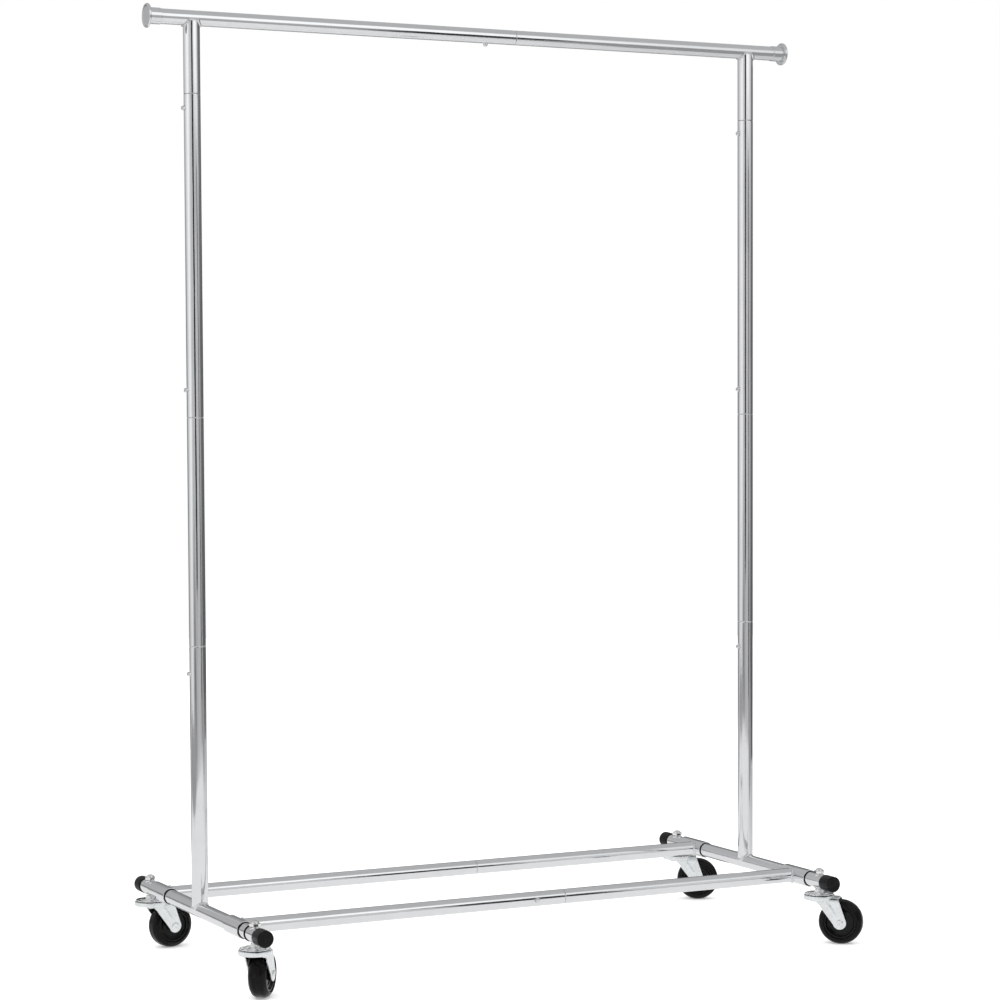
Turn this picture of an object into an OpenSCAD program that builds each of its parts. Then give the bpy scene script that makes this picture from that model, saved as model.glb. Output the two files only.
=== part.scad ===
// Rolling clothes rack: a take-apart frame of round chromed tube on four swivel casters.
// Origin on the floor under the middle of the rack, X along the hanging bar,
// -Y towards the front, Z up.

/* [Overall] */
// Distance between the two posts, centre to centre
post_spacing = 1127; // [900:1:1500]
// Height of the side tubes' axis above the floor
side_tube_height = 115; // [110:1:150]

/* [Posts] */
// Outside diameter of the post tubes
post_d = 29.4; // [29:0.1:33]
// Wall of every tube
wall = 1.5; // [1.2:0.1:1.5]
// Height of the lower posts above the side tube's axis
lower_post_h = 467; // [350:1:600]
// Visible length of the middle posts
middle_post_h = 402; // [300:1:500]
// Length of the upper posts
upper_post_h = 562; // [400:1:650]
// Height of the top tees below the hanging bar's axis
top_tee_h = 132; // [110:1:200]
// Length of the reduced necks on the middle posts
post_neck_l = 76; // [70:1:100]
// Length of the reduced neck under each top tee
tee_neck_l = 46; // [44:1:70]

/* [Hanging bar] */
// Outside diameter of the bar, the rails and the side tubes
bar_d = 26.6; // [26:0.1:28]
// Overall length of the bar with its end discs
bar_length = 1294; // [1280:1:1400]
// Place of the joint in the bar and the rails, to the right of the middle
split_x = 65; // [40:1:120]
// Length of the reduced neck inside the bar and the rails
bar_neck_l = 84; // [70:1:120]
// Diameter of the discs at the bar's ends
end_disc_d = 42; // [34:1:50]

/* [Base] */
// Depth of the base over the side tubes' end caps
base_depth = 622; // [600:1:700]
// Distance between the front and the rear rail
rail_spacing = 362; // [340:1:380]
// Outside diameter of the sleeves that carry the rails
sleeve_d = 31.6; // [31:0.1:33]
// Distance of the sleeves' inner ends from the posts' plane
sleeve_in_y = 149; // [145:1:155]
// Distance of the sleeves' outer ends from it: front left, front right, rear left, rear right
sleeve_out_y = [218, 232, 232, 232]; // [215:1:233]

/* [Casters] */
// Distance between the front and the rear casters
caster_spacing = 524; // [520:1:530]
// Wheel diameter
wheel_d = 82; // [76:1:82]
// Tread width
tread_w = 30; // [26:1:30]
// How far each axle trails behind its swivel
trail = 41; // [38:1:44]
// Swivel at rest, clockwise from the rear: front left, front right, rear left, rear right
caster_heading = [38, 132, 80, 118]; // [0:1:360]

/* [Snap buttons] */
// Button diameter
button_d = 8; // [7:0.5:9]
// How far a button stands out of its tube
button_h = 5.5; // [4:0.5:6]

/* [Hidden] */
$fn = 96;

// Sides and corners
LEFT = -1;
RIGHT = 1;
FRONT = -1;
REAR = 1;
CORNERS = [[LEFT, FRONT], [RIGHT, FRONT], [LEFT, REAR], [RIGHT, REAR]];
FL = 0;
FR = 1;
RL = 2;
RR = 3;

// Fits
snug = 0.05;    // gap between pieces that are fixed together
slip = 0.1;     // radial gap of a neck in its tube
turn = 0.05;    // radial running clearance of a wheel or a swivel
cut = 1;        // how far a cutter passes a face

// Tubes
post_r = post_d / 2;
bar_r = bar_d / 2;
sleeve_r = sleeve_d / 2;
post_neck_r = post_r - wall - slip;
bar_neck_r = bar_r - wall - slip;
neck_chamfer = 1.5;
weld_size = 1.6;
cope_rise = 3;  // a post stops this far from the axis of the tube it is welded to

// Heights
z_side = side_tube_height;
z_low_joint = z_side + lower_post_h;
z_mid_joint = z_low_joint + middle_post_h;
z_top_joint = z_mid_joint + upper_post_h;
z_bar = z_top_joint + top_tee_h;

// Across and along
post_x = post_spacing / 2;
rail_y = rail_spacing / 2;
caster_y = caster_spacing / 2;

// End cap of a side tube
cap_wall = 1.4;
cap_end = 2.5;
cap_l = 29;
cap_edge = 1.2;
cap_y = base_depth / 2;
side_tube_l = base_depth - 2 * (cap_end + snug);

// End of the hanging bar
collar_r = bar_r + 1;
collar_l = 22;
disc_t = 4;
disc_neck_l = 2;
disc_x = bar_length / 2;
bar_tube_x = disc_x - disc_t - disc_neck_l;

// Bushes between the sleeves and the side tubes
bush_wall = 0.95;
bush_l = 20;
flange_r = sleeve_r + 0.3;
flange_t = 1.5;
spacer_y = 246;  // extra ring by the front left caster

// Snap buttons
button_r = button_d / 2;
button_hole_r = button_r + slip;
button_round = 0.45 * button_r;
foot_r = 5.5;
foot_t = 1.2;
leaf_t = 1;
leaf_w = 7;
leaf_flat = 14;
leaf_l = 36;
leaf_drop = 8;
button_joint_gap = 48;  // middle posts' buttons from their joints
tee_button_gap = 24;    // top tees' buttons below their joints
bar_button_gap = 58;    // buttons of bar and rails to the left of the joint
DOWN = 0;               // turn about X from a button that points down
FORWARD = -90;
BACKWARD = 90;

// Casters
wheel_r = wheel_d / 2;
axle_r = 4;
axle_head_r = 6.5;
axle_head_t = 2.5;
leg_t = 2.5;
leg_in = 17.5;              // inside face of a fork leg from the wheel's middle
leg_end_r = 12.3;
hub_half = leg_in - 0.3;
core_r = 30.5;
core_recess = 5;
rim_r = 26;
hub_r = 11;
tread_round = 9;
crown_r = 29;
crown_z = 84;               // underside of the fork's crown
plate_t = 2.5;
crown_rim_t = 2.5;
cup_z = 90.2;               // underside of the upper race cup
cup_r = 27;
cup_t = 1.8;
cup_dome_r = 19;
crown_top = cup_z - 0.4;
cup_top = cup_z + 4.4;
stem_r = 5;
stem_hole_r = 5.2;
collar_under_r = 8;
washer_r = 9.5;
washer_t = 1.6;
rivet_r = 8;
rivet_t = 2.7;
ball_r = 2;
ball_count = 16;
ball_ring_r = 20;
ball_z = crown_z + plate_t + ball_r + 0.1;
nut_flats = 18;
nut_hex_h = 5;
nut_dome_r = 7.5;
nut_dome_z = nut_hex_h - 3;    // the dome's centre above the washer
nut_z = z_side + bar_r + washer_t;
stem_top = nut_z + 6;

// ---- helpers ----

module along_x() {
    rotate([0, 90, 0]) children();
}

module along_y() {
    rotate([-90, 0, 0]) children();
}

// A straight tube standing on z = 0
module pipe(r, l) {
    difference() {
        cylinder(r = r, h = l);
        translate([0, 0, -cut]) cylinder(r = r - wall, h = l + 2 * cut);
    }
}

// The reduced end of a tube, standing on z = 0 with its lead-in at the top
module neck(r, l) {
    difference() {
        union() {
            cylinder(r = r, h = l - neck_chamfer);
            translate([0, 0, l - neck_chamfer])
                cylinder(r1 = r, r2 = r - neck_chamfer / 2, h = neck_chamfer);
        }
        translate([0, 0, -cut]) cylinder(r = r - wall, h = l + 2 * cut);
    }
}

// The short cone inside a tube where its neck begins
module shoulder(r, neck_r) {
    difference() {
        cylinder(r = r, h = wall);
        translate([0, 0, -snug]) cylinder(r = neck_r - wall, h = wall + 2 * snug);
    }
}

// The drill for a snap button, pointing along +X from the tube's axis
module button_drill(r) {
    along_x() cylinder(r = button_hole_r, h = r + cut);
}

module at_corner(c) {
    translate([CORNERS[c][0] * post_x, CORNERS[c][1] * caster_y, 0]) children();
}

// The caster's own frame: +X is the way the wheel trails
module at_caster(c) {
    at_corner(c) rotate([0, 0, 90 - caster_heading[c]]) children();
}

module at_axle(c) {
    at_caster(c) translate([trail, 0, wheel_r]) along_y() children();
}

// ---- side tubes and posts ----

module side_tube(side) {
    color("silver")
    translate([side * post_x, 0, z_side])
    difference() {
        translate([0, -side_tube_l / 2, 0]) along_y() pipe(bar_r, side_tube_l);
        for (end = [FRONT, REAR])
            translate([0, end * caster_y, -bar_r - cut])
                cylinder(r = stem_hole_r, h = bar_d + 2 * cut);
    }
}

module lower_post(side) {
    color("silver")
    translate([side * post_x, 0, z_side])
    difference() {
        translate([0, 0, cope_rise]) pipe(post_r, lower_post_h - cope_rise);
        translate([0, -post_d, 0]) along_y() cylinder(r = bar_r + snug, h = 2 * post_d);
        translate([0, 0, lower_post_h - button_joint_gap]) rotate([0, 0, 180]) button_drill(post_r);
    }
}

module middle_post(side) {
    color("silver")
    translate([side * post_x, 0, z_low_joint])
    difference() {
        union() {
            translate([0, 0, snug]) pipe(post_r, middle_post_h - 2 * snug);
            translate([0, 0, snug]) shoulder(post_r - wall / 2, post_neck_r);
            translate([0, 0, middle_post_h - snug - wall]) shoulder(post_r - wall / 2, post_neck_r);
            translate([0, 0, wall]) mirror([0, 0, 1]) neck(post_neck_r, post_neck_l + wall);
            translate([0, 0, middle_post_h - wall]) neck(post_neck_r, post_neck_l + wall);
        }
        for (z = [-button_joint_gap, middle_post_h + button_joint_gap])
            translate([0, 0, z]) rotate([0, 0, 180]) button_drill(post_r);
    }
}

module upper_post(side) {
    color("silver")
    translate([side * post_x, 0, z_mid_joint])
    difference() {
        pipe(post_r, upper_post_h);
        for (z = [button_joint_gap, upper_post_h - tee_button_gap])
            translate([0, 0, z]) rotate([0, 0, 180]) button_drill(post_r);
    }
}

module top_tee(side) {
    color("silver")
    translate([side * post_x, 0, z_top_joint])
    difference() {
        union() {
            translate([0, 0, snug]) pipe(post_r, top_tee_h - cope_rise - snug);
            translate([0, 0, snug]) shoulder(post_r - wall / 2, post_neck_r);
            translate([0, 0, wall]) mirror([0, 0, 1]) neck(post_neck_r, tee_neck_l + wall);
        }
        translate([-post_d, 0, top_tee_h]) along_x() cylinder(r = bar_r + snug, h = 2 * post_d);
        translate([0, 0, -tee_button_gap]) rotate([0, 0, 180]) button_drill(post_r);
    }
}

// ---- hanging bar and rails ----

// The snap button's hole through a bar and its neck
module bar_button_drill(tilt) {
    translate([split_x - bar_button_gap, 0, 0])
        rotate([tilt, 0, 0])
        rotate([0, 90, 0])
        button_drill(bar_r);
}

// The left piece of a bar from x0 to the joint, its button hole turned by tilt about X
module plain_half(x0, tilt) {
    difference() {
        translate([x0, 0, 0]) along_x() pipe(bar_r, split_x - x0);
        bar_button_drill(tilt);
    }
}

// The right piece of a bar from the joint to x1, with the neck that enters the left piece
module necked_half(x1, tilt) {
    difference() {
        union() {
            translate([split_x + snug, 0, 0]) along_x() pipe(bar_r, x1 - split_x - snug);
            translate([split_x + snug, 0, 0]) along_x() shoulder(bar_r - wall / 2, bar_neck_r);
            translate([split_x + wall, 0, 0])
                mirror([1, 0, 0])
                along_x()
                neck(bar_neck_r, bar_neck_l + wall);
        }
        bar_button_drill(tilt);
    }
}

module hang_bar(side) {
    color("silver")
    translate([0, 0, z_bar])
    if (side == LEFT) plain_half(-bar_tube_x, DOWN);
    else necked_half(bar_tube_x, DOWN);
}

// Push-on end: collar over the tube, flaring into a flat disc
module bar_end(side) {
    color("gainsboro")
    translate([side * disc_x, 0, z_bar])
    rotate([0, -side * 90, 0])
    rotate_extrude()
    union() {
        translate([0, disc_t / 2]) square([end_disc_d / 2 - disc_t / 2, disc_t / 2]);
        square([end_disc_d / 2 - disc_t / 2, disc_t / 2 + snug]);
        translate([end_disc_d / 2 - disc_t / 2, disc_t / 2]) circle(r = disc_t / 2);
        translate([0, disc_t - snug]) square([collar_r, disc_neck_l]);
        translate([bar_r + snug, disc_t]) square([collar_r - bar_r - snug, collar_l]);
    }
}

module rail(side, end) {
    tilt = end == FRONT ? FORWARD : BACKWARD;
    color("silver")
    translate([0, end * rail_y, z_side])
    difference() {
        if (side == LEFT) plain_half(-post_x, tilt);
        else necked_half(post_x, tilt);
        translate([side * post_x, -post_d, 0]) along_y() cylinder(r = sleeve_r + snug, h = 2 * post_d);
    }
}

// ---- sleeves, bushes and welds ----

module sleeve(c) {
    color("silver")
    translate([CORNERS[c][0] * post_x, 0, z_side])
    rotate([0, 0, CORNERS[c][1] == FRONT ? 180 : 0])
    translate([0, sleeve_in_y, 0]) along_y()
    difference() {
        cylinder(r = sleeve_r, h = sleeve_out_y[c] - sleeve_in_y);
        translate([0, 0, -cut])
            cylinder(r = bar_r + bush_wall + 2 * snug, h = sleeve_out_y[c] - sleeve_in_y + 2 * cut);
    }
}

// A flanged bush with its barrel towards +Z
module bush() {
    difference() {
        union() {
            translate([0, 0, -flange_t]) cylinder(r = flange_r, h = flange_t - snug);
            translate([0, 0, -flange_t]) cylinder(r = bar_r + snug + bush_wall, h = bush_l + flange_t);
        }
        translate([0, 0, -flange_t - cut]) cylinder(r = bar_r + snug, h = bush_l + flange_t + 2 * cut);
    }
}

module ring() {
    difference() {
        cylinder(r = sleeve_r, h = flange_t);
        translate([0, 0, -cut]) cylinder(r = bar_r + snug, h = flange_t + 2 * cut);
    }
}

module sleeve_bushes() {
    color("#202020") {
        for (c = [FL, FR, RL, RR])
            translate([CORNERS[c][0] * post_x, 0, z_side])
            rotate([0, 0, CORNERS[c][1] == FRONT ? 180 : 0]) {
                translate([0, sleeve_in_y, 0]) along_y() bush();
                translate([0, sleeve_out_y[c], 0]) mirror([0, 1, 0]) along_y() bush();
            }
        translate([-post_x, -spacer_y, z_side]) mirror([0, 1, 0]) along_y() ring();
    }
}

// The bead where a tube of radius r meets another of radius across_r at right angles.
// The tube runs along +Z and the other along Y through the origin.
module weld(r, across_r, start) {
    difference() {
        intersection() {
            translate([0, 0, start]) cylinder(r = r + weld_size, h = 2 * across_r);
            translate([0, -2 * r, 0]) along_y() cylinder(r = across_r + weld_size, h = 4 * r);
        }
        cylinder(r = r + snug, h = 3 * across_r);
        translate([0, -2 * r, 0]) along_y() cylinder(r = across_r + snug, h = 4 * r);
    }
}

module weld_beads() {
    color("gainsboro")
    for (side = [LEFT, RIGHT]) {
        translate([side * post_x, 0, z_side]) weld(post_r, bar_r, cope_rise);
        translate([side * post_x, 0, z_bar]) rotate([0, 180, 90]) weld(post_r, bar_r, cope_rise);
        for (end = [FRONT, REAR])
            translate([side * post_x, end * rail_y, z_side])
                rotate([0, -side * 90, 0]) weld(bar_r, sleeve_r, cope_rise);
    }
}

module tube_caps() {
    color("#181818")
    for (side = [LEFT, RIGHT])
        for (end = [FRONT, REAR])
            translate([side * post_x, end * cap_y, z_side])
            rotate([end * 90, 0, 0])
            rotate_extrude() {
                translate([0, cap_edge]) square([bar_r + cap_wall, cap_end - cap_edge]);
                square([bar_r + cap_wall - cap_edge, cap_end]);
                translate([bar_r + cap_wall - cap_edge, cap_edge]) circle(r = cap_edge);
                translate([bar_r + snug, cap_edge]) square([cap_wall - snug, cap_l - cap_edge]);
            }
}

// ---- caster fixings ----

// Washers curved to the tube, one over and one under it
module saddle_washers() {
    color("lightsteelblue")
    for (c = [FL, FR, RL, RR])
        at_corner(c)
        for (up = [0, 1])
            translate([0, 0, z_side])
            mirror([0, 0, 1 - up])
            difference() {
                translate([0, 0, bar_r - washer_t * 2]) cylinder(r = washer_r, h = 3 * washer_t - snug);
                translate([0, -2 * washer_r, 0]) along_y() cylinder(r = bar_r + snug, h = 4 * washer_r);
                translate([0, 0, bar_r / 2]) cylinder(r = stem_hole_r, h = bar_r);
            }
}

module cap_nuts() {
    color("gainsboro")
    for (c = [FL, FR, RL, RR])
        at_corner(c)
        translate([0, 0, nut_z])
        difference() {
            union() {
                intersection() {
                    cylinder(r = nut_flats / sqrt(3), h = nut_hex_h, $fn = 6);
                    cylinder(r1 = nut_flats / 2 + nut_hex_h, r2 = nut_flats / 2 + 0.4, h = nut_hex_h);
                }
                intersection() {
                    translate([0, 0, nut_dome_z]) sphere(r = nut_dome_r);
                    translate([0, 0, nut_hex_h - 1]) cylinder(r = nut_dome_r, h = nut_dome_r);
                }
            }
            translate([0, 0, -cut]) cylinder(r = stem_r + snug, h = stem_top - nut_z + cut + snug);
        }
}

// Threaded stem with its collar, the upper race cup and the swivel rivet
module stem(c) {
    color("lightsteelblue")
    at_corner(c)
    difference() {
        union() {
            translate([0, 0, crown_z - 0.3]) cylinder(r = stem_r, h = stem_top - crown_z + 0.3);
            translate([0, 0, crown_z - 0.3 - rivet_t]) cylinder(r = rivet_r, h = rivet_t);
            translate([0, 0, cup_top - 1])
                cylinder(r = collar_under_r, h = z_side - bar_r - washer_t - cup_top + 1);
            translate([0, 0, cup_z]) cylinder(r = cup_r, h = cup_t);
            translate([0, 0, cup_z + cup_t])
                cylinder(r1 = cup_dome_r, r2 = cup_dome_r - 4, h = cup_top - cup_z - cup_t);
        }
        translate([0, 0, ball_z]) rotate_extrude() translate([ball_ring_r, 0]) circle(r = ball_r + slip);
    }
}

module race_balls() {
    color("lightgray")
    for (c = [FL, FR, RL, RR])
        at_corner(c)
        for (i = [0 : ball_count - 1])
            rotate([0, 0, i * 360 / ball_count]) translate([ball_ring_r, 0, ball_z]) sphere(r = ball_r);
}

// ---- forks, axles and wheels ----

// Outline of a leg in the fork's own X and Z
leg_front = -14;
leg_rear = trail - 3;
arch_x = 6;
arch_r = 19;

module leg_outline() {
    difference() {
        union() {
            translate([trail, wheel_r]) circle(r = leg_end_r);
            polygon([
                [leg_front, crown_z + plate_t],
                [leg_front, crown_z - 5],
                [arch_x, crown_z - 16],
                [trail - leg_end_r * 0.95, wheel_r - leg_end_r * 0.3],
                [trail + leg_end_r * 0.98, wheel_r + leg_end_r * 0.2],
                [leg_rear, crown_z + plate_t]
            ]);
        }
        translate([leg_front + 3, crown_z - 5 - arch_r]) circle(r = arch_r);
    }
}

module fork(c) {
    color("lightsteelblue")
    at_caster(c)
    difference() {
        union() {
            for (y = [-leg_in - leg_t, leg_in])
                translate([0, y + leg_t, 0])
                    rotate([90, 0, 0])
                    linear_extrude(height = leg_t)
                    leg_outline();
            translate([leg_front, -leg_in - leg_t, crown_z])
                cube([leg_rear - leg_front, 2 * (leg_in + leg_t), plate_t]);
            translate([0, 0, crown_z]) cylinder(r = crown_r, h = crown_top - crown_z);
        }
        translate([0, 0, crown_z + plate_t]) cylinder(r = crown_r - crown_rim_t, h = crown_top);
        translate([0, 0, crown_z - cut]) cylinder(r = stem_r + turn, h = plate_t + 2 * cut);
        translate([trail, 0, wheel_r]) rotate([90, 0, 0])
            cylinder(r = axle_r + snug, h = 2 * (leg_in + leg_t + cut), center = true);
    }
}

module axle(c) {
    color("gainsboro")
    at_axle(c) {
        cylinder(r = axle_r, h = 2 * (leg_in + leg_t + axle_head_t) - 1, center = true);
        for (flip = [0, 1])
            mirror([0, 0, flip])
            translate([0, 0, leg_in + leg_t + snug])
            cylinder(r1 = axle_head_r, r2 = axle_head_r - axle_head_t / 2, h = axle_head_t);
    }
}

module tyre(c) {
    color("#1a1a1a")
    at_axle(c)
    rotate_extrude()
    difference() {
        union() {
            translate([core_r, -tread_w / 2])
                square([wheel_r - tread_round - core_r, tread_w]);
            translate([core_r, tread_round - tread_w / 2])
                square([wheel_r - core_r, tread_w - 2 * tread_round]);
            for (side = [-1, 1])
                translate([wheel_r - tread_round, side * (tread_w / 2 - tread_round)])
                    circle(r = tread_round);
        }
        translate([0, -tread_w]) square([core_r, 2 * tread_w]);
    }
}

module wheel_core(c) {
    color("#222222")
    at_axle(c)
    rotate_extrude()
    difference() {
        union() {
            translate([0, -tread_w / 2 + 0.4]) square([core_r - snug, tread_w - 0.8]);
            translate([0, -hub_half]) square([hub_r, 2 * hub_half]);
        }
        for (side = [-1, 1])
            translate([hub_r, side * (tread_w / 2 + 1) - (core_recess + 1) * (side + 1) / 2])
                square([rim_r - hub_r, core_recess + 1]);
        translate([-1, -tread_w]) square([axle_r + turn + 1, 2 * tread_w]);
    }
}

// ---- snap buttons ----

// A button in a tube of radius r over a neck of radius neck_r. The button points along +Z
// from the tube's axis, and its leaf lies along +X.
module snap_button(r, neck_r) {
    foot_top = sqrt(pow(neck_r - wall, 2) - foot_r * foot_r) - slip;
    top = r + button_h;
    color("gainsboro") {
        rotate_extrude() {
            translate([0, foot_top - foot_t]) square([foot_r, foot_t]);
            translate([0, foot_top - foot_t])
                square([button_r, top - button_round - foot_top + foot_t]);
            translate([0, top - button_round - snug])
                square([button_r - button_round, button_round + snug]);
            translate([button_r - button_round, top - button_round]) circle(r = button_round);
        }
        translate([0, leaf_w / 2, foot_top - foot_t])
            rotate([90, 0, 0])
            linear_extrude(height = leaf_w)
            polygon([
                [-foot_r, 0], [leaf_flat, 0], [leaf_l, -leaf_drop],
                [leaf_l, -leaf_drop - leaf_t], [leaf_flat, -leaf_t], [-foot_r, -leaf_t]
            ]);
    }
}

// On a post: the button points to the left and its leaf hangs down or stands up
module post_button(side, z, leaf_up) {
    translate([side * post_x, 0, z])
        rotate([0, -90, 0])
        rotate([0, 0, leaf_up ? 0 : 180])
        snap_button(post_r, post_neck_r);
}

// On the bar or a rail, its leaf towards the joint
module bar_button(y, z, tilt) {
    translate([split_x - bar_button_gap, y, z])
        rotate([tilt, 0, 0])
        rotate([180, 0, 0])
        snap_button(bar_r, bar_neck_r);
}

module button_lower(side) {
    post_button(side, z_low_joint - button_joint_gap, true);
}

module button_middle(side) {
    post_button(side, z_mid_joint + button_joint_gap, false);
}

module button_upper(side) {
    post_button(side, z_top_joint - tee_button_gap, true);
}

side_tube(LEFT);  // side_tube_left
side_tube(RIGHT);  // side_tube_right
lower_post(LEFT);  // lower_post_left
lower_post(RIGHT);  // lower_post_right
middle_post(LEFT);  // middle_post_left
middle_post(RIGHT);  // middle_post_right
upper_post(LEFT);  // upper_post_left
upper_post(RIGHT);  // upper_post_right
top_tee(LEFT);  // top_tee_left
top_tee(RIGHT);  // top_tee_right
hang_bar(LEFT);  // hang_bar_left
hang_bar(RIGHT);  // hang_bar_right
bar_end(LEFT);  // bar_end_left
bar_end(RIGHT);  // bar_end_right
rail(LEFT, FRONT);  // front_rail_left
rail(RIGHT, FRONT);  // front_rail_right
rail(LEFT, REAR);  // rear_rail_left
rail(RIGHT, REAR);  // rear_rail_right
sleeve(FL);  // sleeve_front_left
sleeve(FR);  // sleeve_front_right
sleeve(RL);  // sleeve_rear_left
sleeve(RR);  // sleeve_rear_right
sleeve_bushes();
weld_beads();
tube_caps();
saddle_washers();
cap_nuts();
race_balls();
stem(FL);  // stem_front_left
stem(FR);  // stem_front_right
stem(RL);  // stem_rear_left
stem(RR);  // stem_rear_right
fork(FL);  // fork_front_left
fork(FR);  // fork_front_right
fork(RL);  // fork_rear_left
fork(RR);  // fork_rear_right
axle(FL);  // axle_front_left
axle(FR);  // axle_front_right
axle(RL);  // axle_rear_left
axle(RR);  // axle_rear_right
tyre(FL);  // tyre_front_left
tyre(FR);  // tyre_front_right
tyre(RL);  // tyre_rear_left
tyre(RR);  // tyre_rear_right
wheel_core(FL);  // wheel_core_front_left
wheel_core(FR);  // wheel_core_front_right
wheel_core(RL);  // wheel_core_rear_left
wheel_core(RR);  // wheel_core_rear_right
bar_button(0, z_bar, DOWN);  // button_bar
bar_button(-rail_y, z_side, FORWARD);  // button_front_rail
bar_button(rail_y, z_side, BACKWARD);  // button_rear_rail
button_lower(LEFT);  // button_lower_left
button_lower(RIGHT);  // button_lower_right
button_middle(LEFT);  // button_middle_left
button_middle(RIGHT);  // button_middle_right
button_upper(LEFT);  // button_upper_left
button_upper(RIGHT);  // button_upper_right
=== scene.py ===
import math

import bmesh
import bpy
import numpy as np
from mathutils import Matrix, Vector


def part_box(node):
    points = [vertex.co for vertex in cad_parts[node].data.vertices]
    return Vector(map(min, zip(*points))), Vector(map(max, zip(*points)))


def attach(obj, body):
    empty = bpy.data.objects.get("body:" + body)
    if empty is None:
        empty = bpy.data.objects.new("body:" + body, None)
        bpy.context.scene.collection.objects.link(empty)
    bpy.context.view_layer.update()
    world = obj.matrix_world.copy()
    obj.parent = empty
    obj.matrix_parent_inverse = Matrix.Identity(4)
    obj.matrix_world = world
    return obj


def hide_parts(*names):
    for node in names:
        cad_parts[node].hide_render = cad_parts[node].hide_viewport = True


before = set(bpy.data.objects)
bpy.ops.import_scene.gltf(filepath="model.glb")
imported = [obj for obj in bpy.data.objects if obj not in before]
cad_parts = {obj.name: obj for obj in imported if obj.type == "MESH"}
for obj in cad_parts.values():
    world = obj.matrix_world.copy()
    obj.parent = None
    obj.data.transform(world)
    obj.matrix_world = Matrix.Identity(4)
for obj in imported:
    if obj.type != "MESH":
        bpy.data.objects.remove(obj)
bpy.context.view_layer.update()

# Lengths below are in millimetres; MM turns them into metres.
MM = 0.001
LEFT, RIGHT, FRONT, REAR = -1, 1, -1, 1
SIDES = {"left": LEFT, "right": RIGHT}
ENDS = {"front": FRONT, "rear": REAR}
CORNERS = ("front_left", "front_right", "rear_left", "rear_right")

# ------------------------------------------------------------------ measures of the frame


def span(node):
    """Lowest and highest corner of a CAD node in millimetres."""
    low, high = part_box(node)
    return np.array(low) / MM, np.array(high) / MM


def middle(node):
    low, high = span(node)
    return (low + high) / 2


def half_size(node, axis):
    low, high = span(node)
    return (high - low)[axis] / 2


X, Y, Z = 0, 1, 2
WALL = 1.5          # thickness of every tube
SLIP = 0.1          # gap between a neck and the tube around it
EDGE = 1.8          # rolled edge of a cut tube
SEAM = 0.5          # how far a tube stands off the one before it
SNUG = 0.05         # gap where two pieces meet without a slip fit
POST_X = middle("upper_post_right")[X]
POST_R = half_size("upper_post_right", X)
BAR_R = half_size("hang_bar_left", Y)
SLEEVE_R = half_size("sleeve_rear_right", X)
Z_SIDE = middle("side_tube_left")[Z]
Z_BAR = middle("hang_bar_left")[Z]
Z_LOW = span("lower_post_left")[1][Z]
Z_MID = span("upper_post_left")[0][Z]
Z_TOP = span("upper_post_left")[1][Z]
RAIL_Y = middle("rear_rail_left")[Y]
SPLIT_X = span("hang_bar_left")[1][X]
CAP_Y = span("tube_caps")[1][Y]
CAP_R = half_size("tube_caps", Z)
CASTER_Y = middle("stem_rear_left")[Y]
WHEEL_R = half_size("tyre_rear_left", Z)
POST_NECK_R = POST_R - WALL - SLIP
BAR_NECK_R = BAR_R - WALL - SLIP
# Degrees that each caster trails towards, from +Y round to +X, and how far its axle is behind the swivel
HEADING = {"front_left": 38, "front_right": 132, "rear_left": 80, "rear_right": 118}
TRAIL = 41.0

# ------------------------------------------------------------------ mesh helpers


def rounded(corners, closed=True, steps=5, support=0.6):
    """Corner points (a, b, radius) with each corner as an arc, and a row just before and after it."""
    points = []
    count = len(corners)
    for i, (a, b, radius) in enumerate(corners):
        here = np.array([a, b], float)
        if radius <= 0 or (not closed and i in (0, count - 1)):
            points.append(here)
            continue
        back = np.array(corners[i - 1][:2], float) - here
        ahead = np.array(corners[(i + 1) % count][:2], float) - here
        back_l, ahead_l = np.linalg.norm(back), np.linalg.norm(ahead)
        back, ahead = back / back_l, ahead / ahead_l
        angle = math.acos(max(-1, min(1, float(back @ ahead))))
        if angle > math.pi - 0.05:
            points.append(here)
            continue
        reach = min(radius / math.tan(angle / 2), 0.49 * back_l, 0.49 * ahead_l)
        radius = reach * math.tan(angle / 2)
        toward = (back + ahead) / np.linalg.norm(back + ahead)
        centre = here + toward * radius / math.sin(angle / 2)
        start, end = here + back * reach - centre, here + ahead * reach - centre
        turn = math.pi - angle
        if back_l > 4 * reach + 4 * support:
            points.append(here + back * (reach + support))
        for k in range(steps + 1):
            t = k / steps
            mix = (math.sin((1 - t) * turn) * start + math.sin(t * turn) * end) / math.sin(turn)
            points.append(centre + mix)
        if ahead_l > 4 * reach + 4 * support:
            points.append(here + ahead * (reach + support))
    return points


def lathe(profile, segments=96, closed=True):
    """Solid of revolution about Z from (radius, z) points; closed joins the last point to the first."""
    verts, rows = [], []
    angles = np.linspace(0, 2 * math.pi, segments, endpoint=False)
    ring = np.stack([np.cos(angles), np.sin(angles)], 1)
    for r, z in profile:
        if r < 1e-6:
            rows.append([len(verts)] * segments)
            verts.append((0, 0, z))
        else:
            rows.append(list(range(len(verts), len(verts) + segments)))
            verts.extend((r * c, r * s, z) for c, s in ring)
    faces = []
    pairs = list(zip(rows, rows[1:])) + ([(rows[-1], rows[0])] if closed else [])
    for low, high in pairs:
        for i in range(segments):
            j = (i + 1) % segments
            corner = [low[i], low[j], high[j], high[i]]
            face = [v for k, v in enumerate(corner) if v != corner[k - 1]]
            if len(face) > 2:
                faces.append(face)
    return np.array(verts, float), faces


def turned(profile_points, segments=96, closed=True, steps=5, support=0.6):
    return lathe(rounded(profile_points, closed, steps, support), segments, closed)


def turn(axis, degrees):
    return Matrix.Rotation(math.radians(degrees), 4, axis)


def move(x, y, z):
    return Matrix.Translation((x, y, z))


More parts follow.
